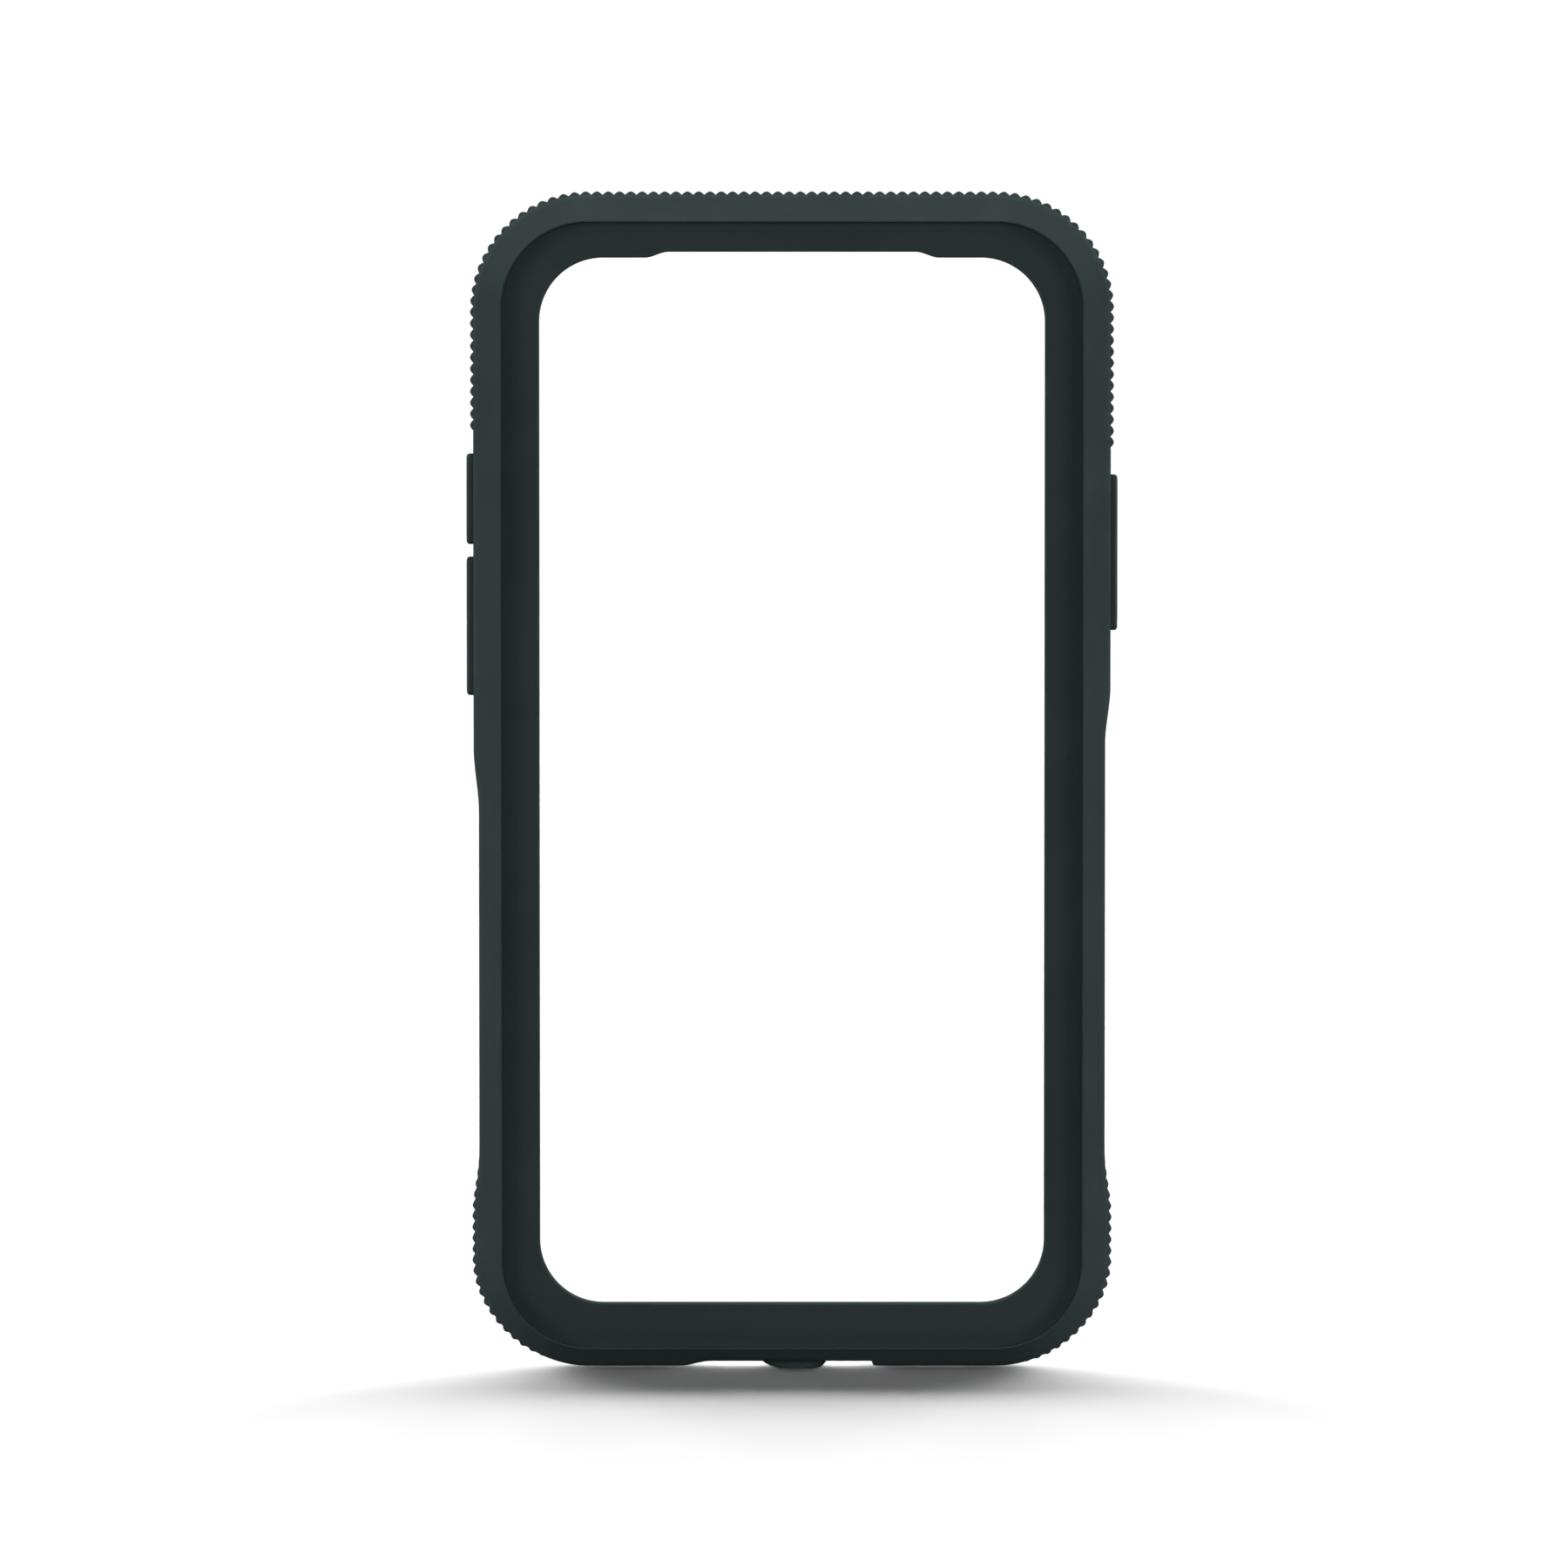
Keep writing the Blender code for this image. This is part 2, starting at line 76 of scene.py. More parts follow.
# Phone cavity, rear lip and liner
PHONE_WIDTH, PHONE_HEIGHT, PHONE_CORNER, PHONE_CLEARANCE = 70.9, 143.6, 10.5, 0.15
CAVITY_FRONT, CAVITY_BACK, GROOVE_FLOOR = -3.05, 4.75, BEZEL_FACE + 0.25
BACK_CHAMFER, BACK_LIP, LINER_WALL = 1.2, 1.5, 1.2
SHOULDER_INNER, SHOULDER_OUTER, FLANGE_BACK, TUCK = 2.3, 0.7, -3.2, 0.02
WINDOW_HALF_WIDTH, WINDOW_LOW, WINDOW_HIGH, WINDOW_CORNER = 32.5, 8.8, 143.4, 8.2
RELIEF_RISE, RELIEF_INNER, RELIEF_OUTER = 0.75, 15.9, 18.9

# Ribbed grips
RIB_PITCH, RIB_TIP, RIB_VALLEY, RIB_SAMPLES = 1.456, 0.4, -0.03, 12
RIB_FADED_TIP, RIB_FADE_COUNT, RIB_ROLL, RIB_END_DROP = 0.05, 5, 0.7, 0.25
GRIP_FLOOR, LOWER_GRIP_TOP, TOP_GRIP_LEFT, TOP_GRIP_RIGHT = -0.8, 27.6, 121.2, 119.0
LEFT_GRIP_END, RIGHT_GRIP_END = 11.0, 2.0      # degrees short of the base
CHANNEL_LEAD = 0.18

# Keys
BUTTONS = {
    "volume_up_button": ("volume_up", -1),
    "volume_down_button": ("volume_down", -1),
    "power_button": ("power", 1),
}
BUTTON_DEPTH, BUTTON_CENTRE, BUTTON_CORNER, BUTTON_EDGE = 4.2, 0.85, 0.6, 0.42
FLANGE_MARGIN, FLANGE_TRIM, FLANGE_OUTER, FLANGE_INNER = 0.8, 0.4, 0.9, -0.1
PLUNGER_DEPTH, PLUNGER_LENGTH, PLUNGER_TIP = 2.4, 5.0, -1.75

# Charging port, its cover and the cover's root
PORT_CENTRE, PORT_SIZE = 0.85, (11.2, 6.0)
PLATE_BOTTOM, PLATE_TOP = 1.15, 2.25
TAB_FRONT, TAB_BACK, TAB_TAPER = -2.15, 3.85, 0.35
STUD_OFFSET, STUD_WIDTH, STUD_HOLE = 0.6, 1.6, 1.9
SOUND_SLOT = (19.0, 7.5, 2.2)                  # distance from the middle, length, width
SLOT_FLARE = 0.35

# Fits that show as fine dark lines
SEAM, KEY_GAP, COVER_GAP = 0.06, 0.16, 0.14
ARC_STEPS = 44
HOLD = 0.15                                    # flat kept beside a rounding, which steadies the shading
# Bends between faces, in radians, where wear starts, where it is full, and above which an edge is a cut
WEAR_BEND = (0.06, 0.28, 0.6)


def smooth_step(low, high, value):
    t = min(max((value - low) / (high - low), 0.0), 1.0)
    return t * t * (3.0 - 2.0 * t)


def mix(a, b, t):
    return a + (b - a) * t


def spread(low, high, count):
    return [mix(low, high, i / count) for i in range(count + 1)]


# Outlines --------------------------------------------------------------------

RIGHT_HEIGHTS = spread(*WAIST_BOTTOM, 10) + spread(*WAIST_TOP["right"], 10) + [118.0]
LEFT_HEIGHTS = spread(*WAIST_BOTTOM, 10) + spread(*WAIST_TOP["left"], 10) + [118.0]
TOP_PLACES = spread(-RELIEF_OUTER, -RELIEF_INNER, 8) + [0.0] + spread(RELIEF_INNER, RELIEF_OUTER, 8)
BASE_PLACES = spread(*RECESS_LEFT, 10) + [0.0] + spread(*RECESS_RIGHT, 5)


def arc_points(centre_x, centre_z, radius, start, end, steps=ARC_STEPS):
    """Stations (x, z, normal x, normal z) along an arc, in degrees."""
    points = []
    for i in range(steps + 1):
        angle = math.radians(mix(start, end, i / steps))
        nx, nz = math.cos(angle), math.sin(angle)
        points.append((centre_x + radius * nx, centre_z + radius * nz, nx, nz))
    return points


def outline(half_width, low, high, radius):
    """Stations round an upright rounded rectangle, anticlockwise seen from the front."""
    inner_x, inner_low, inner_high = half_width - radius, low + radius, high - radius
    points = [(half_width, z, 1.0, 0.0) for z in RIGHT_HEIGHTS]
    points += arc_points(inner_x, inner_high, radius, 0, 90)
    points += [(x, high, 0.0, 1.0) for x in reversed(TOP_PLACES)]
    points += arc_points(-inner_x, inner_high, radius, 90, 180)
    points += [(-half_width, z, -1.0, 0.0) for z in reversed(LEFT_HEIGHTS)]
    points += arc_points(-inner_x, inner_low, radius, 180, 270)
    points += [(x, low, 0.0, -1.0) for x in BASE_PLACES]
    points += arc_points(inner_x, inner_low, radius, 270, 360)
    return points


def crest_outline():
    return outline(CREST_HALF_WIDTH, CREST_LOW, CREST_HIGH, CREST_CORNER)


def cavity_outline(margin):
    half_width, half_height = PHONE_WIDTH / 2 + margin, PHONE_HEIGHT / 2 + margin
    return outline(half_width, MIDDLE - half_height, MIDDLE + half_height, PHONE_CORNER + margin / 2)


def window_outline():
    """The screen opening, with the relief for the sensor housing in its top edge."""
    points = []
    for x, z, nx, nz in outline(WINDOW_HALF_WIDTH, WINDOW_LOW, WINDOW_HIGH, WINDOW_CORNER):
        if nz == 1.0:
            z += RELIEF_RISE * (1.0 - smooth_step(RELIEF_INNER, RELIEF_OUTER, abs(x)))
        points.append((x, z, nx, nz))
    return points


def swell(x, z):
    """How far the side wall stands out from the crest at a point of the crest."""
    if z <= CREST_LOW + 1e-3:
        into_recess = smooth_step(*RECESS_LEFT, x) * (1.0 - smooth_step(*RECESS_RIGHT, x))
        return mix(BASE_SWELL, RECESS_SWELL, into_recess)
    corner_top = CREST_LOW + CREST_CORNER
    if z < corner_top:
        return mix(BASE_SWELL, GRIP_SWELL, smooth_step(CREST_LOW, corner_top, z))
    if z < WAIST_TOP["left"][0]:
        return mix(GRIP_SWELL, WAIST_SWELL, smooth_step(*WAIST_BOTTOM, z))
    side = "left" if x < 0 else "right"
    return mix(WAIST_SWELL, FULL_SWELL, smooth_step(*WAIST_TOP[side], z))


def ring(stations, y, offset=0.0):
    """3-D points of an outline at depth y, moved along its normals by an offset."""
    points = []
    for x, z, nx, nz in stations:
        grow = offset(x, z) if callable(offset) else offset
        depth = y(x, z) if callable(y) else y
        points.append(Vector((x + nx * grow, depth, z + nz * grow)))
    return points


# Meshes ----------------------------------------------------------------------

def bridge(builder, loops, closed_section, capped):
    """Join loops of equal length into a skin."""
    rows = [[builder.verts.new(point * MM) for point in loop] for loop in loops]
    pairs = list(zip(rows, rows[1:]))
    if closed_section:
        pairs.append((rows[-1], rows[0]))
    for lower, upper in pairs:
        for i in range(len(lower)):
            j = (i + 1) % len(lower)
            builder.faces.new((lower[i], lower[j], upper[j], upper[i]))
    if capped:
        builder.faces.new(rows[0])
        builder.faces.new(rows[-1])


def new_object(name, builder):
    bmesh.ops.recalc_face_normals(builder, faces=builder.faces[:])
    mesh = bpy.data.meshes.new(name)
    builder.to_mesh(mesh)
    builder.free()
    item = bpy.data.objects.new(name, mesh)
    bpy.context.scene.collection.objects.link(item)
    return item


def round_section(corners, cuts, steps):
    """A closed polygon whose corners are rounded off, each starting its cut's length away."""
    points = []
    count = len(corners)
    for i, (corner, cut_length) in enumerate(zip(corners, cuts)):
        if cut_length == 0:
            points.append(corner)
            continue
        before, after = corners[i - 1] - corner, corners[(i + 1) % count] - corner
        start = corner + before * min(cut_length / before.length, 0.42)
        end = corner + after * min(cut_length / after.length, 0.42)
        points.append(start + before * min(HOLD / before.length, 0.06))
        for step in range(steps + 1):
            t = step / steps
            points.append(start * (1 - t) ** 2 + corner * 2 * t * (1 - t) + end * t ** 2)
        points.append(end + after * min(HOLD / after.length, 0.06))
    return points


def ring_body(name, loops, cuts, steps=5):
    """A closed frame whose section has rounded corners; cuts gives one rounding for each loop."""
    sections = [round_section(list(corners), cuts, steps) for corners in zip(*loops)]
    builder = bmesh.new()
    bridge(builder, [list(loop) for loop in zip(*sections)], closed_section=True, capped=False)
    return new_object(name, builder)


def rounded_loop(axis, level, centre, size, radius, steps=9):
    """A rounded rectangle across an axis ("X" or "Z") at a level along it."""
    half_a, half_b = size[0] / 2, size[1] / 2
    radius = min(radius, half_a - 0.01, half_b - 0.01)
    points = []
    for quarter, (sign_a, sign_b) in enumerate(((1, 1), (-1, 1), (-1, -1), (1, -1))):
        for i in range(steps + 1):
            angle = math.radians(90 * (quarter + i / steps))
            a = centre[0] + sign_a * (half_a - radius) + radius * math.cos(angle)
            b = centre[1] + sign_b * (half_b - radius) + radius * math.sin(angle)
            points.append(Vector((level, a, b) if axis == "X" else (a, b, level)))
    return points


def stacked_body(name, axis, layers):
    """A solid stacked from rounded rectangles: (level, centre, size, radius) for each layer."""
    builder = bmesh.new()
    bridge(builder, [rounded_loop(axis, *layer) for layer in layers], closed_section=False, capped=True)
    return new_object(name, builder)


def edge_layers(level, inwards, centre, size, radius, edge, steps=7):
    """Layers of a rounded rim: the face at a level, rolled over into the sides."""
    layers = []
    for i in range(steps + 1):
        angle = math.radians(90 * i / steps)
        inset = edge * (1 - math.sin(angle))
        depth = edge * (1 - math.cos(angle))
        trimmed = (size[0] - 2 * inset, size[1] - 2 * inset)
        layers.append((level + inwards * depth, centre, trimmed, radius))
    return layers


def swept_body(name, stations, section):
    """A solid swept along stations; section gives the (offset, y) corners at a station index."""
    builder = bmesh.new()
    loops = []
    for index, (x, z, nx, nz) in enumerate(stations):
        loops.append([Vector((x + nx * w, y, z + nz * w)) for w, y in section(index)])
    bridge(builder, loops, closed_section=False, capped=True)
    return new_object(name, builder)


def carve(target, cutters):
    """Subtract the cutters from the target's mesh and delete them."""
    for cutter in cutters:
        modifier = target.modifiers.new(cutter.name, "BOOLEAN")
        modifier.operation = "DIFFERENCE"
        modifier.solver = "EXACT"
        modifier.object = cutter
    bpy.context.view_layer.update()
    evaluated = target.evaluated_get(bpy.context.evaluated_depsgraph_get())
    carved = bpy.data.meshes.new_from_object(evaluated)
    target.modifiers.clear()
    plain, target.data = target.data, carved
    bpy.data.meshes.remove(plain)
    for cutter in cutters:
        bpy.data.objects.remove(cutter, do_unlink=True)


def mark_wear(mesh):
    """Store how exposed each vertex is: high on rounded outer edges, none on flats and in hollows."""
    builder = bmesh.new()
    builder.from_mesh(mesh)
    layer = builder.verts.layers.float.new("wear")
    for vertex in builder.verts:
        bends = [edge.calc_face_angle_signed(0.0) for edge in vertex.link_edges]
        rounded = [bend for bend in bends if WEAR_BEND[0] < bend < WEAR_BEND[2]]
        vertex[layer] = max((smooth_step(WEAR_BEND[0], WEAR_BEND[1], bend) for bend in rounded), default=0.0)
    builder.to_mesh(mesh)
    builder.free()


def finish_piece(piece, node, body, material, angle=32.0):
    """Shade a piece, dress it and let it stand for its CAD node."""
    mark_wear(piece.data)
    piece.data.materials.clear()
    piece.data.materials.append(material)
    piece.data.shade_smooth()
    piece.data.set_sharp_from_angle(angle=math.radians(angle))
    normals = piece.modifiers.new("weighted_normals", "WEIGHTED_NORMAL")
    normals.keep_sharp = True
    normals.weight = 90
    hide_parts(node)
    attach(piece, body)


# Path of the side wall -------------------------------------------------------

def wall_path(pieces, pitch, samples):
    """Evenly spaced stations along straight runs and corner arcs, a whole number of pitches long."""
    dense = []
    for piece in pieces:
        if piece[0] == "line":
            start, end, normal = piece[1:]
            count = max(int(math.dist(start, end) / 0.02), 1)
            for i in range(count + 1):
                t = i / count
                dense.append((mix(start[0], end[0], t), mix(start[1], end[1], t), *normal))
        else:
            centre, start, end = piece[1:]
            dense += arc_points(*centre, CREST_CORNER, start, end, steps=1200)
    walls = [Vector((x + nx * swell(x, z), z + nz * swell(x, z))) for x, z, nx, nz in dense]
    travelled = [0.0]
    for before, after in zip(walls, walls[1:]):
        travelled.append(travelled[-1] + (after - before).length)
    count = round(travelled[-1] / pitch) * samples
    stations, cursor = [], 0
    for i in range(count + 1):
        target = travelled[-1] * i / count
        while cursor < len(dense) - 1 and travelled[cursor] < target - 1e-6:
            cursor += 1
        stations.append(dense[cursor])
    return stations


def grip_paths():
    """The three ribbed stretches of the side wall."""
    side, low, high = CREST_HALF_WIDTH, CREST_LOW, CREST_HIGH
    inner_x, corner_low, corner_high = side - CREST_CORNER, low + CREST_CORNER, high - CREST_CORNER
    top = [
        ("line", (side, TOP_GRIP_RIGHT), (side, corner_high), (1, 0)),
        ("arc", (inner_x, corner_high), 0, 90),
        ("line", (inner_x, high), (-inner_x, high), (0, 1)),
        ("arc", (-inner_x, corner_high), 90, 180),
        ("line", (-side, corner_high), (-side, TOP_GRIP_LEFT), (-1, 0)),
    ]
    left = [
        ("line", (-side, LOWER_GRIP_TOP), (-side, corner_low), (-1, 0)),
        ("arc", (-inner_x, corner_low), 180, 270 - LEFT_GRIP_END),
    ]
    right = [
        ("arc", (inner_x, corner_low), 270 + RIGHT_GRIP_END, 360),
        ("line", (side, corner_low), (side, LOWER_GRIP_TOP), (1, 0)),
    ]
    return {"top_grip": top, "lower_left_grip": left, "lower_right_grip": right}


def make_grip(name, pieces):
    """A strip of round-backed ribs that run from front to back and are rolled off at both ends."""
    stations = wall_path(pieces, RIB_PITCH, RIB_SAMPLES)
    last = len(stations) - 1
    fade_length = RIB_FADE_COUNT * RIB_SAMPLES
    edge_steps = 6

    def rib(index):
        around = 0.5 - 0.5 * math.cos(2 * math.pi * (index % RIB_SAMPLES) / RIB_SAMPLES)
        return around ** 0.5

    def rolled_edge(wall, height):
        """(offset, distance from the end) from the end of a rib up to its back."""
        edge = []
        for i in range(edge_steps + 1):
            t = i / edge_steps
            rolled = math.sqrt(1 - (1 - t) ** 2)
            edge.append((wall + mix(RIB_VALLEY - RIB_END_DROP, height, rolled), RIB_ROLL * t))
        return edge

    def section(index):
        x, z = stations[index][:2]
        wall = swell(x, z)
        near_end = min(index, last - index)
        fade = 1.0 if name == "top_grip" else smooth_step(0, fade_length, near_end)
        tip = mix(RIB_FADED_TIP, RIB_TIP, fade)
        edge = rolled_edge(wall, RIB_VALLEY + (tip - RIB_VALLEY) * rib(index))
        points = [(wall + GRIP_FLOOR, GRIP_FRONT)]
        points += [(offset, GRIP_FRONT + run) for offset, run in edge]
        points += [(offset, GRIP_BACK - run) for offset, run in reversed(edge)]
        points.append((wall + GRIP_FLOOR, GRIP_BACK))
        return points

    return swept_body(name + "_ribs", stations, section)


def grip_channel(name, pieces):
    """The channel cut for a grip, with a small lead-in at its mouth."""
    stations = wall_path(pieces, 0.8, 1)
    first_x, first_z, nx, nz = stations[0]
    start = (first_x + nz * SEAM, first_z - nx * SEAM, nx, nz)
    last_x, last_z, mx, mz = stations[-1]
    end = (last_x - mz * SEAM, last_z + mx * SEAM, mx, mz)
    stations = [start] + stations[1:-1] + [end]
    clear = 2.0

    def section(index):
        x, z = stations[index][:2]
        wall = swell(x, z)
        front, back = GRIP_FRONT - SEAM, GRIP_BACK + SEAM
        floor, mouth, spread_out = wall + GRIP_FLOOR - SEAM, wall - CHANNEL_LEAD, CHANNEL_LEAD + clear
        return [(floor, front), (mouth, front), (wall + clear, front - spread_out),
                (wall + clear, back + spread_out), (mouth, back), (floor, back)]

    return swept_body(name + "_channel", stations, section)


# Keys ------------------------------------------------------------------------

def key_span(node):
    """Middle height and length of a key's cap, from its CAD box, which includes the flange."""
    low, high = box_mm(node)
    return (low.z + high.z) / 2, high.z - low.z - 2 * FLANGE_MARGIN + FLANGE_TRIM


def make_button(node, side):
    """A key: rounded cap, retaining flange and the plunger that meets the phone's key."""
    middle, length = key_span(node)
    low, high = box_mm(node)
    outer = (high.x if side > 0 else -low.x) - CREST_HALF_WIDTH
    centre = (BUTTON_CENTRE, middle)
    cap = (BUTTON_DEPTH, length)
    margin = 2 * FLANGE_MARGIN
    flange = (BUTTON_DEPTH + margin, length + margin - FLANGE_TRIM)
    plunger = (PLUNGER_DEPTH, PLUNGER_LENGTH)

    def level(distance):
        return side * (CREST_HALF_WIDTH + distance)

    dish = (BUTTON_DEPTH - 1.9, length - 2.4)
    layers = [
        (level(outer - 0.05), centre, dish, BUTTON_CORNER),
        (level(outer), centre, (dish[0] + 0.5, dish[1] + 0.6), BUTTON_CORNER),
    ]
    layers += edge_layers(level(outer), -side, centre, cap, BUTTON_CORNER + 0.2, BUTTON_EDGE)
    layers += [
        (level(FLANGE_OUTER), centre, cap, BUTTON_CORNER + 0.2),
        (level(FLANGE_OUTER), centre, flange, BUTTON_CORNER),
        (level(FLANGE_INNER), centre, flange, BUTTON_CORNER),
        (level(FLANGE_INNER), centre, plunger, 0.5),
        (level(PLUNGER_TIP + 0.2), centre, plunger, 0.5),
        (level(PLUNGER_TIP), centre, (plunger[0] - 0.4, plunger[1] - 0.4), 0.4),
    ]
    return stacked_body(node + "_cap", "X", layers)


def button_cutters(node, side):
    """Window with a rolled mouth and a flange pocket for the bumper; plunger hole for the liner."""
    middle, length = key_span(node)
    centre = (BUTTON_CENTRE, middle)
    margin = 2 * FLANGE_MARGIN

    def level(distance):
        return side * (CREST_HALF_WIDTH + distance)

    def grown(size, amount):
        return size[0] + 2 * amount, size[1] + 2 * amount

    window = grown((BUTTON_DEPTH, length), KEY_GAP)
    pocket = grown((BUTTON_DEPTH + margin, length + margin - FLANGE_TRIM), KEY_GAP)
    shoulder = level(FLANGE_OUTER + 0.2)
    corner = BUTTON_CORNER + 0.2 + KEY_GAP
    pocket_layers = [
        (level(FULL_SWELL + 1.0), centre, grown(window, 1.2), corner + 1.2),
        (level(FULL_SWELL - 0.2), centre, window, corner),
        (shoulder, centre, window, corner),
        (shoulder, centre, pocket, BUTTON_CORNER),
        (level(-1.2), centre, pocket, BUTTON_CORNER),
    ]
    hole = grown((PLUNGER_DEPTH, PLUNGER_LENGTH), 0.3)
    hole_layers = [(level(0.5), centre, hole, 0.6), (level(-3.0), centre, hole, 0.6)]
    return (stacked_body(node + "_window", "X", pocket_layers),
            stacked_body(node + "_hole", "X", hole_layers))


# Base ------------------------------------------------------------------------

def base_level(x):
    """Height of the case's underside at a place along the base."""
    return CREST_LOW - swell(x, CREST_LOW)


def between(low_x, high_x, low_y, high_y):
    """Centre and size of a rectangle from its limits."""
    return ((low_x + high_x) / 2, (low_y + high_y) / 2), (high_x - low_x, high_y - low_y)


def plate_limits(grow=0.0):
    return (cover_low.x - grow, cover_high.x + grow, cover_low.y - grow, cover_high.y + grow)


def tether_limits(grow=0.0):
    return (tether_low.x - grow, tether_high.x + grow, tether_low.y - grow, tether_high.y + grow)


def make_port_cover():
    """Dust cover: plug, plate with a rolled rim, and a pull tab with a soft and a steep end."""
    plate_centre, plate_size = between(*plate_limits())
    plug_centre = (0.0, PORT_CENTRE)
    plug = (PORT_SIZE[0] - 0.6, PORT_SIZE[1] - 0.6)
    plug_top = cover_high.z
    layers = edge_layers(plug_top, -1, plug_centre, plug, 2.2, 0.5)
    layers += [
        (PLATE_TOP, plug_centre, plug, 2.2),
        (PLATE_TOP, plate_centre, plate_size, 1.2),
    ]
    layers += edge_layers(PLATE_BOTTOM, 1, plate_centre, plate_size, 1.2, 0.3)[::-1]
    tab = [      # height, left end, right end
        (PLATE_BOTTOM, -4.6, 4.75),
        (1.02, -4.15, 4.6),
        (0.8, -3.75, 4.42),
        (0.5, -3.35, 4.2),
        (0.24, -2.85, 3.98),
        (0.08, -2.3, 3.7),
        (0.0, -1.5, 3.2),
    ]
    for height, left, right in tab:
        taper = TAB_TAPER * (1 - height / PLATE_BOTTOM) ** 3
        centre, size = between(left, right, TAB_FRONT + taper, TAB_BACK - taper)
        layers.append((height, centre, size, 1.5))
    return stacked_body("port_cover_flap", "Z", layers)


def make_tether():
    """The cover's root, level with the ramp in the base, and its stud in the liner."""
    centre, size = between(*tether_limits())
    stud_centre = (centre[0] - STUD_OFFSET, centre[1])
    stud_top = tether_high.z
    stud, stud_tip = (STUD_WIDTH, STUD_WIDTH), (STUD_WIDTH - 0.5, STUD_WIDTH - 0.5)
    layers = edge_layers(0.0, 1, centre, size, 0.5, 0.25)
    layers += [
        (PLATE_TOP, centre, size, 0.5),
        (PLATE_TOP, stud_centre, stud, STUD_WIDTH / 2),
        (stud_top - 0.3, stud_centre, stud, STUD_WIDTH / 2),
        (stud_top, stud_centre, stud_tip, stud_tip[0] / 2),
    ]
    tether = stacked_body("port_cover_root", "Z", layers)
    for vertex in tether.data.vertices:
        if vertex.co.z < 0.5 * MM:
            vertex.co.z += base_level(vertex.co.x / MM) * MM
    return tether


def base_cutters():
    """Cutters for the bumper's base and for the liner's base."""
    plate_centre, plate_size = between(*plate_limits(COVER_GAP))
    wide_centre, wide_size = between(*plate_limits(COVER_GAP + 0.6))
    tether_centre, tether_size = between(*tether_limits(SEAM))
    stud_centre = (between(*tether_limits())[0][0] - STUD_OFFSET, tether_centre[1])
    stud_hole = (STUD_HOLE, STUD_HOLE)
    in_bumper = [
        stacked_body("plate_window", "Z", [
            (RECESS_SWELL - 1.2, wide_centre, wide_size, 2.0),
            (PLATE_BOTTOM + 0.15, plate_centre, plate_size, 1.3),
            (2.8, plate_centre, plate_size, 1.3)]),
        stacked_body("tether_window", "Z", [
            (-1.0, tether_centre, tether_size, 0.6), (2.8, tether_centre, tether_size, 0.6)]),
    ]
    in_liner = [
        stacked_body("port_hole", "Z", [
            (2.0, (0.0, PORT_CENTRE), PORT_SIZE, 2.4), (5.0, (0.0, PORT_CENTRE), PORT_SIZE, 2.4)]),
        stacked_body("stud_hole", "Z", [
            (2.0, stud_centre, stud_hole, STUD_HOLE / 2), (5.0, stud_centre, stud_hole, STUD_HOLE / 2)]),
    ]
    distance, length, width = SOUND_SLOT
    for side, label in ((-1, "left"), (1, "right")):
        for cutters, flare in ((in_bumper, SLOT_FLARE), (in_liner, 0.0)):
            centre = (side * distance, PORT_CENTRE)
            widened = 3 * flare + (2.0 if flare else 0.0)
            layers = [
                (-1.0, centre, (length + widened, width + widened), 4.0),
                (0.45 + flare, centre, (length, width), width / 2),
                (5.0, centre, (length, width), width / 2),
            ]
            cutters.append(stacked_body(label + "_sound_slot", "Z", layers))
    return in_bumper, in_liner


# Frame mouldings -------------------------------------------------------------

def make_bumper():
    """Front slope, crest, side wall and rear lip of the soft frame, with its corners rolled."""
    crest = crest_outline()
    rear_edge = cavity_outline(PHONE_CLEARANCE - BACK_LIP)
    wall = cavity_outline(PHONE_CLEARANCE + LINER_WALL + SEAM)
    loops = [
        ring(crest, FRONT, -CREST_LAND),
        ring(crest, FRONT),
        ring(crest, lambda x, z: FRONT + swell(x, z), swell),
        ring(crest, BACK - BACK_CHAMFER, swell),
        ring(crest, BACK, lambda x, z: swell(x, z) - BACK_CHAMFER),
        ring(rear_edge, BACK),
        ring(rear_edge, CAVITY_BACK),
        ring(wall, CAVITY_BACK),
        ring(wall, FLANGE_BACK + SEAM),
        ring(crest, FLANGE_BACK + SEAM, -CREST_LAND),
    ]
    cuts = [0.08, 0.08, 0.9, 0.7, 0.7, 0.4, 0.3, 0, 0, 0]
    return ring_body("bumper_moulding", loops, cuts)


def make_liner():
    """Flat strip round the screen, its rolled shoulders and the wall that holds the phone."""
    crest = crest_outline()
    cavity = cavity_outline(PHONE_CLEARANCE)
    outer = cavity_outline(PHONE_CLEARANCE + LINER_WALL)
    window = window_outline()
    loops = [
        ring(crest, GROOVE_FLOOR, -CREST_LAND + TUCK),
        ring(crest, FLANGE_BACK, -CREST_LAND + TUCK),
        ring(outer, FLANGE_BACK),
        ring(outer, LINER_BACK),
        ring(cavity, LINER_BACK),
        ring(cavity, CAVITY_FRONT),
        ring(window, CAVITY_FRONT),
        ring(window, BEZEL_FACE),
        ring(crest, BEZEL_FACE, -SHOULDER_INNER),
        ring(crest, GROOVE_FLOOR, -SHOULDER_OUTER),
    ]
    cuts = [0, 0, 0, 0.3, 0.3, 0.4, 0.12, 0.28, 0.9, 0.6]
    return ring_body("liner_moulding", loops, cuts)


# Materials -------------------------------------------------------------------

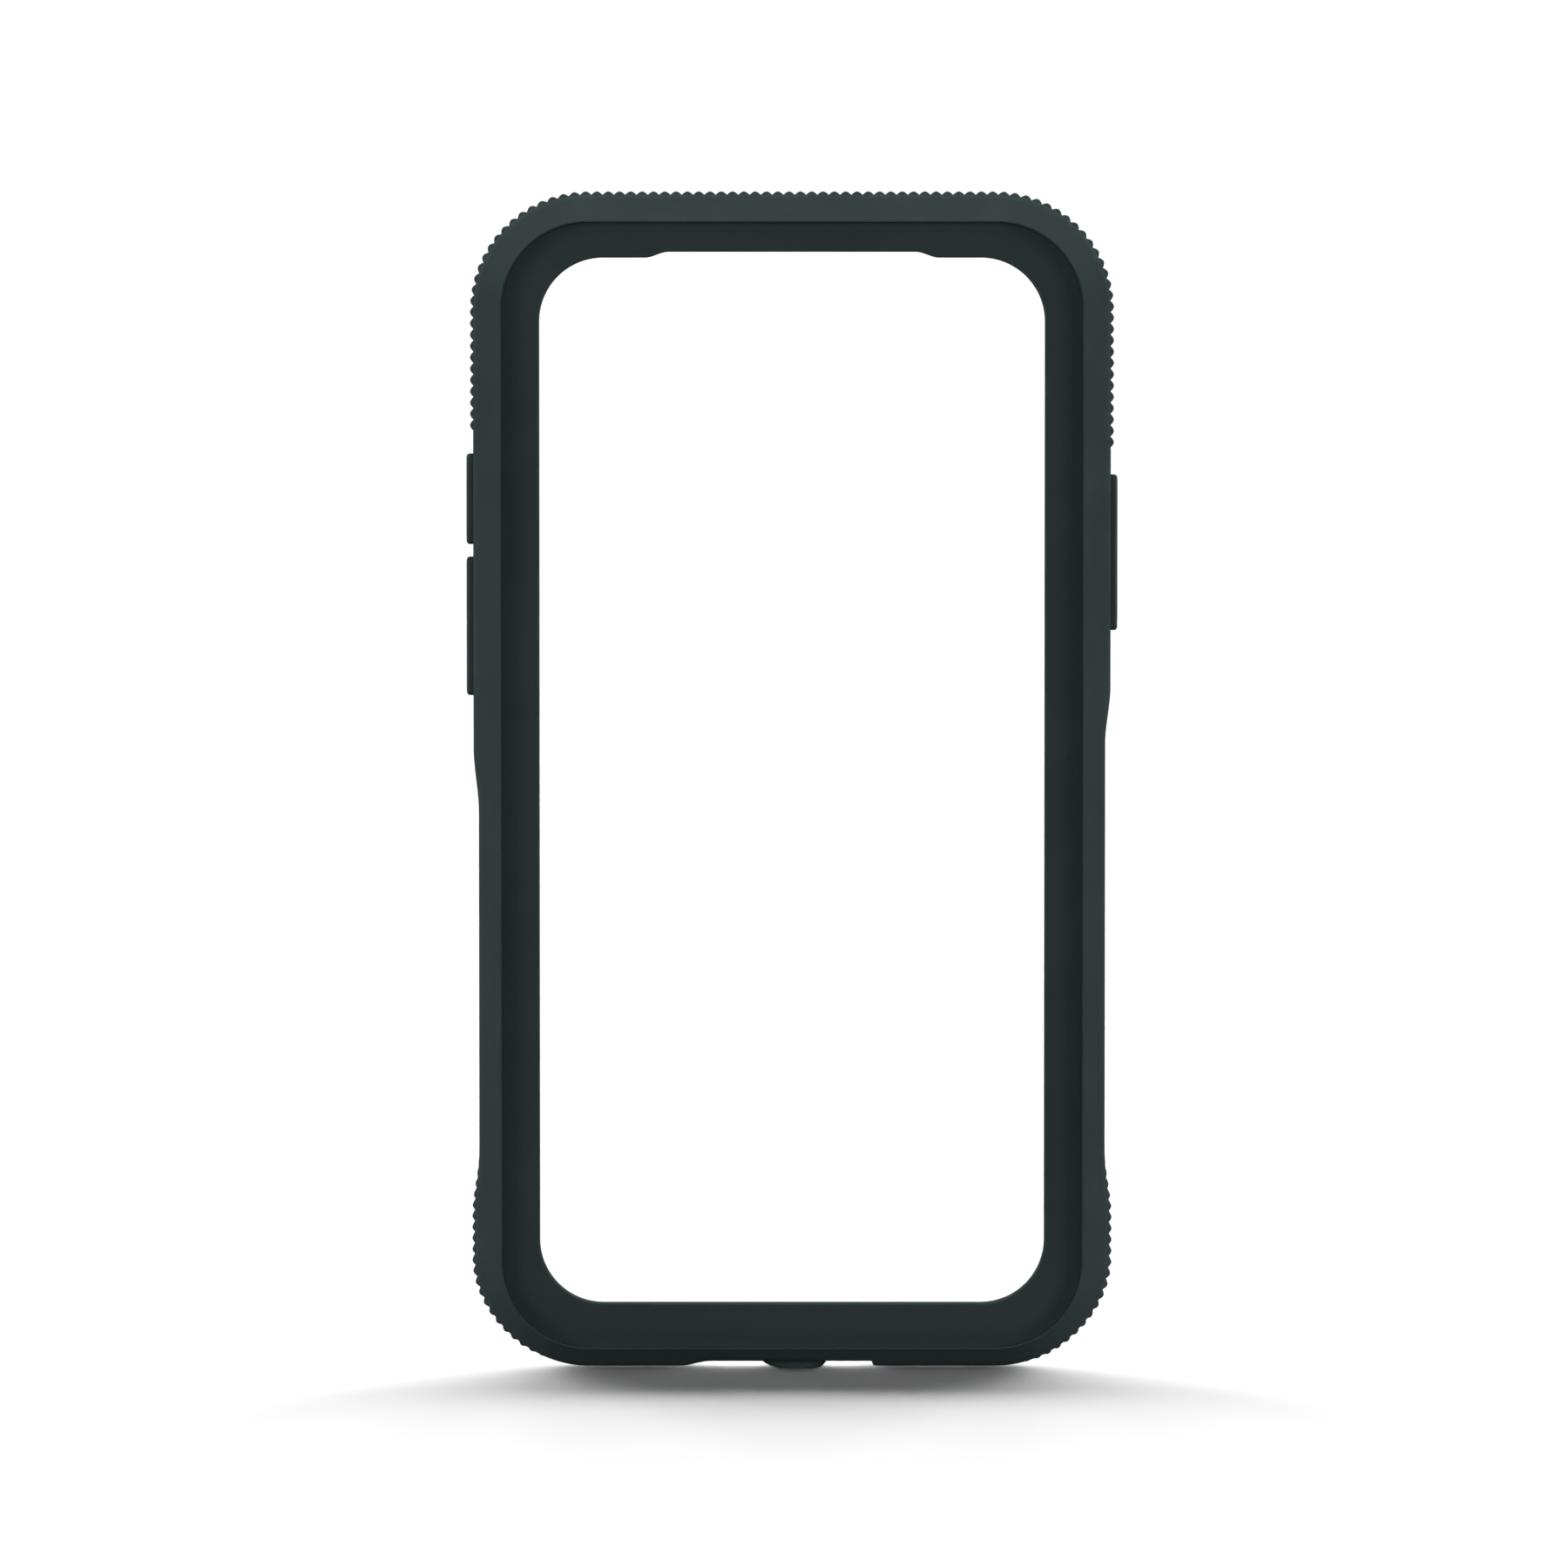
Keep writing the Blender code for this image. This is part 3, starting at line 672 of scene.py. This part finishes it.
def moulded(name, dark, light, roughness, grain, grain_depth):
    """A moulded near-black polymer: fine spark-eroded grain, uneven sheen, paler worn edges."""
    material = bpy.data.materials.new(name)
    material.use_nodes = True
    nodes, links = material.node_tree.nodes, material.node_tree.links
    shader = nodes["Principled BSDF"]
    shader.inputs["Specular IOR Level"].default_value = 0.12
    place = nodes.new("ShaderNodeTexCoord")

    def noise(scale, detail, rough=0.5):
        node = nodes.new("ShaderNodeTexNoise")
        node.inputs["Scale"].default_value = scale
        node.inputs["Detail"].default_value = detail
        node.inputs["Roughness"].default_value = rough
        links.new(place.outputs["Object"], node.inputs["Vector"])
        return node.outputs["Fac"]

    def ranged(source, from_low, from_high, to_low, to_high):
        node = nodes.new("ShaderNodeMapRange")
        node.inputs["From Min"].default_value = from_low
        node.inputs["From Max"].default_value = from_high
        node.inputs["To Min"].default_value = to_low
        node.inputs["To Max"].default_value = to_high
        links.new(source, node.inputs["Value"])
        return node.outputs["Result"]

    def blended(kind, factor, first, second):
        node = nodes.new("ShaderNodeMix")
        node.data_type = "RGBA"
        node.blend_type = kind
        for socket, value in ((node.inputs[0], factor), (node.inputs[6], first), (node.inputs[7], second)):
            if hasattr(value, "is_output"):
                links.new(value, socket)
            elif isinstance(value, float):
                socket.default_value = value
            else:
                socket.default_value = (*value, 1.0)
        return node.outputs[2]

    cloud = ranged(noise(45.0, 4.0), 0.3, 0.7, 0.0, 1.0)
    colour = blended("MIX", cloud, dark, light)
    exposed = nodes.new("ShaderNodeAttribute")
    exposed.attribute_name = "wear"
    patches = ranged(noise(260.0, 3.0), 0.4, 0.62, 0.15, 1.0)
    rubbed = nodes.new("ShaderNodeMath")
    rubbed.operation = "MULTIPLY"
    links.new(exposed.outputs["Fac"], rubbed.inputs[0])
    links.new(patches, rubbed.inputs[1])
    edge = ranged(rubbed.outputs["Value"], 0.0, 1.0, 0.0, 0.3)
    worn = tuple(min(channel * 2.2, 1.0) for channel in light)
    colour = blended("MIX", edge, colour, worn)
    dust = ranged(noise(3400.0, 2.0), 0.70, 0.80, 0.0, 0.3)
    colour = blended("MIX", dust, colour, tuple(channel * 2.6 for channel in light))
    links.new(colour, shader.inputs["Base Color"])

    sheen = ranged(noise(120.0, 5.0, 0.6), 0.3, 0.7, roughness - 0.06, roughness + 0.07)
    links.new(sheen, shader.inputs["Roughness"])

    coarse = noise(grain, 3.0, 0.6)
    bump = nodes.new("ShaderNodeBump")
    bump.inputs["Strength"].default_value = 0.5
    bump.inputs["Distance"].default_value = grain_depth
    links.new(coarse, bump.inputs["Height"])
    links.new(bump.outputs["Normal"], shader.inputs["Normal"])
    return material


# Stage -----------------------------------------------------------------------

def make_floor():
    """A plain pale floor that throws no light back on the case."""
    builder = bmesh.new()
    bmesh.ops.create_grid(builder, x_segments=2, y_segments=2, size=8.0)
    floor = new_object("floor", builder)
    material = bpy.data.materials.new("pale_floor")
    material.use_nodes = True
    shader = material.node_tree.nodes["Principled BSDF"]
    shader.inputs["Base Color"].default_value = (0.92, 0.92, 0.925, 1.0)
    shader.inputs["Roughness"].default_value = 0.9
    shader.inputs["Specular IOR Level"].default_value = 0.0
    floor.data.materials.append(material)
    floor.visible_diffuse = False
    floor.visible_glossy = False
    return floor


def make_world():
    """Studio surround: a white band round the horizon, dim above and below."""
    world = bpy.data.worlds.new("studio")
    bpy.context.scene.world = world
    world.use_nodes = True
    nodes, links = world.node_tree.nodes, world.node_tree.links
    background = nodes["Background"]
    place = nodes.new("ShaderNodeTexCoord")
    split = nodes.new("ShaderNodeSeparateXYZ")
    links.new(place.outputs["Generated"], split.inputs[0])
    level = nodes.new("ShaderNodeValToRGB")
    stops = ((0.46, 0.06), (0.48, 1.05), (0.60, 1.05), (0.68, 0.08))
    ramp = level.color_ramp
    for position, value in stops:
        element = ramp.elements.new(position)
        element.color = (value, value, value, 1.0)
    ramp.elements.remove(ramp.elements[-1])
    ramp.elements.remove(ramp.elements[0])
    height = nodes.new("ShaderNodeMapRange")
    height.inputs["From Min"].default_value = -1.0
    height.inputs["From Max"].default_value = 1.0
    links.new(split.outputs["Z"], height.inputs["Value"])
    links.new(height.outputs["Result"], level.inputs["Fac"])
    links.new(level.outputs["Color"], background.inputs["Color"])
    background.inputs["Strength"].default_value = 1.0


def light_only(lamp, receivers):
    """Let a light fall on some objects only."""
    group = bpy.data.collections.new(lamp.name + "_receivers")
    for item in receivers:
        group.objects.link(item)
    lamp.light_linking.receiver_collection = group


def add_light(name, place, size, power, target, receivers):
    data = bpy.data.lights.new(name, "AREA")
    data.shape = "RECTANGLE"
    data.size, data.size_y = size
    data.energy = power
    lamp = bpy.data.objects.new(name, data)
    bpy.context.scene.collection.objects.link(lamp)
    lamp.location = place
    lamp.rotation_mode = "QUATERNION"
    lamp.rotation_quaternion = (Vector(place) - Vector(target)).to_track_quat("Z", "Y")
    light_only(lamp, receivers)


def add_sun(name, heading, elevation, angle, strength, receivers):
    """A wide soft light that falls on the receivers only.

    Angles are in degrees, and the heading is measured from straight behind the case.
    """
    data = bpy.data.lights.new(name, "SUN")
    data.angle = math.radians(angle)
    data.energy = strength
    lamp = bpy.data.objects.new(name, data)
    bpy.context.scene.collection.objects.link(lamp)
    turn, height = math.radians(heading), math.radians(elevation)
    level = math.cos(height)
    source = Vector((math.sin(turn) * level, math.cos(turn) * level, math.sin(height)))
    lamp.rotation_mode = "QUATERNION"
    lamp.rotation_quaternion = source.to_track_quat("Z", "Y")
    light_only(lamp, receivers)


def make_camera():
    """A long lens in front of the case, looking down at its middle by two degrees."""
    data = bpy.data.cameras.new("camera")
    camera = bpy.data.objects.new("camera", data)
    bpy.context.scene.collection.objects.link(camera)
    distance, elevation = 0.95, math.radians(2.0)
    back = Vector((0.0, -math.cos(elevation), math.sin(elevation)))
    camera.location = Vector((-0.00103, 0.0, 0.0756)) + back * distance
    camera.rotation_mode = "QUATERNION"
    camera.rotation_quaternion = back.to_track_quat("Z", "Y")
    data.sensor_width = 36.0
    data.lens = 168.7
    data.clip_start, data.clip_end = 0.01, 50.0
    bpy.context.scene.camera = camera


# Build -----------------------------------------------------------------------

def main():
    bpy.context.scene.view_settings.view_transform = "Standard"
    soft = moulded("soft_bumper", (0.0195, 0.030, 0.031), (0.0235, 0.035, 0.036), 0.78, 5200.0, 0.000012)
    stiff = moulded("stiff_liner", (0.0168, 0.0265, 0.027), (0.0205, 0.031, 0.0315), 0.7, 6500.0, 0.00001)
    rubber = moulded("grip_rubber", (0.018, 0.028, 0.029), (0.0225, 0.0335, 0.0345), 0.82, 4200.0, 0.000014)
    key = moulded("key_cap", (0.0185, 0.0285, 0.0295), (0.022, 0.033, 0.034), 0.62, 7000.0, 0.000008)
    flap = moulded("flap_rubber", (0.0175, 0.027, 0.028), (0.0215, 0.032, 0.033), 0.8, 4600.0, 0.000012)

    bumper, liner = make_bumper(), make_liner()
    bumper_cutters, liner_cutters = base_cutters()
    for name, pieces in grip_paths().items():
        bumper_cutters.append(grip_channel(name, pieces))
        finish_piece(make_grip(name, pieces), name, "frame", rubber, angle=50.0)
    for node, (body, side) in BUTTONS.items():
        window, hole = button_cutters(node, side)
        bumper_cutters.append(window)
        liner_cutters.append(hole)
        finish_piece(make_button(node, side), node, body, key)
    carve(bumper, bumper_cutters)
    carve(liner, liner_cutters)
    finish_piece(bumper, "bumper_frame", "frame", soft)
    finish_piece(liner, "inner_frame", "frame", stiff)
    finish_piece(make_port_cover(), "port_cover", "cover", flap)
    finish_piece(make_tether(), "port_cover_tether", "frame", flap)

    case = [item for item in bpy.context.scene.objects if item.type == "MESH"]
    floor = make_floor()
    make_world()
    add_sun("key", 0.0, 83.5, 6.5, 3.1, case)
    for step in range(-2, 3):
        add_sun("back_" + str(step + 3), 17.0 * step, 8.0, 28.0, 4.7, [floor])
    target = (0.0, 0.0, 0.08)
    add_light("left_side", (-1.0, -0.22, 0.12), (0.6, 0.35), 8.0, target, case)
    add_light("right_side", (1.0, -0.22, 0.12), (0.6, 0.35), 8.0, target, case)
    add_light("front_fill", (0.0, -1.6, 0.2), (1.4, 0.5), 8.3, target, case)
    make_camera()


main()
